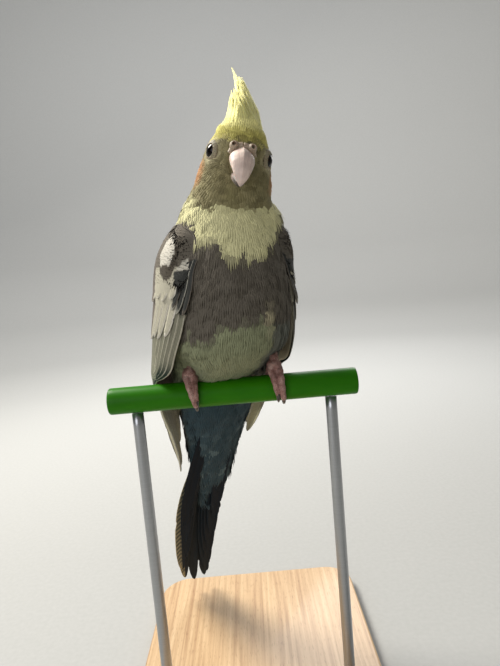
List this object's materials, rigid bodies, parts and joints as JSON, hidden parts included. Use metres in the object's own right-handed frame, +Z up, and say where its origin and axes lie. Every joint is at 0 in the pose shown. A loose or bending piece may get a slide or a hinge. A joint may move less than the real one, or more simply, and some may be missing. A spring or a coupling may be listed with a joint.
{
  "type": "cockatiel model",
  "caption": "Life-size standing cockatiel with raised crest and hanging tail, perched on a short round bar over a flat display base.",
  "frame": {"origin": "centre of the underside of the display base", "axes": "+Z up along the bird; the perch runs along X; the bird faces -Y and its tail hangs towards +Y"},
  "size_m": [0.126, 0.156, 0.2995],
  "materials": {
    "plumage": "soft matt feathers, grey-brown with a yellow bib",
    "crest": "soft yellow crest feathers",
    "wing": "smooth flight feathers, cream and dark grey",
    "tail": "smooth long feathers, blue-grey",
    "bill": "satin horn",
    "cere": "bare skin",
    "eye": "wet black gloss",
    "foot_skin": "scaly skin",
    "claw": "satin horn",
    "perch": "satin moulded plastic",
    "stand_base": "satin lacquered wood",
    "stand_rod": "brushed"
  },
  "bodies": {
    "root": {"foot_right": "foot_skin", "claw_right_front_outer": "claw", "claw_right_front_inner": "claw", "claw_right_back_outer": "claw", "claw_right_back_inner": "claw", "leg_right": "foot_skin", "foot_left": "foot_skin", "claw_left_front_outer": "claw", "claw_left_front_inner": "claw", "claw_left_back_outer": "claw", "claw_left_back_inner": "claw", "leg_left": "foot_skin", "torso": "plumage", "neck": "plumage", "head": "plumage", "eye_right": "eye", "eye_left": "eye", "bill_upper": "bill", "bill_lower": "bill", "cere": "cere", "crest": "crest", "wing_right": "wing", "wing_left": "wing", "tail": "tail", "perch": "perch", "stand_base": "stand_base", "stand_rod_right": "stand_rod", "stand_rod_left": "stand_rod"}
  },
  "joints": []
}
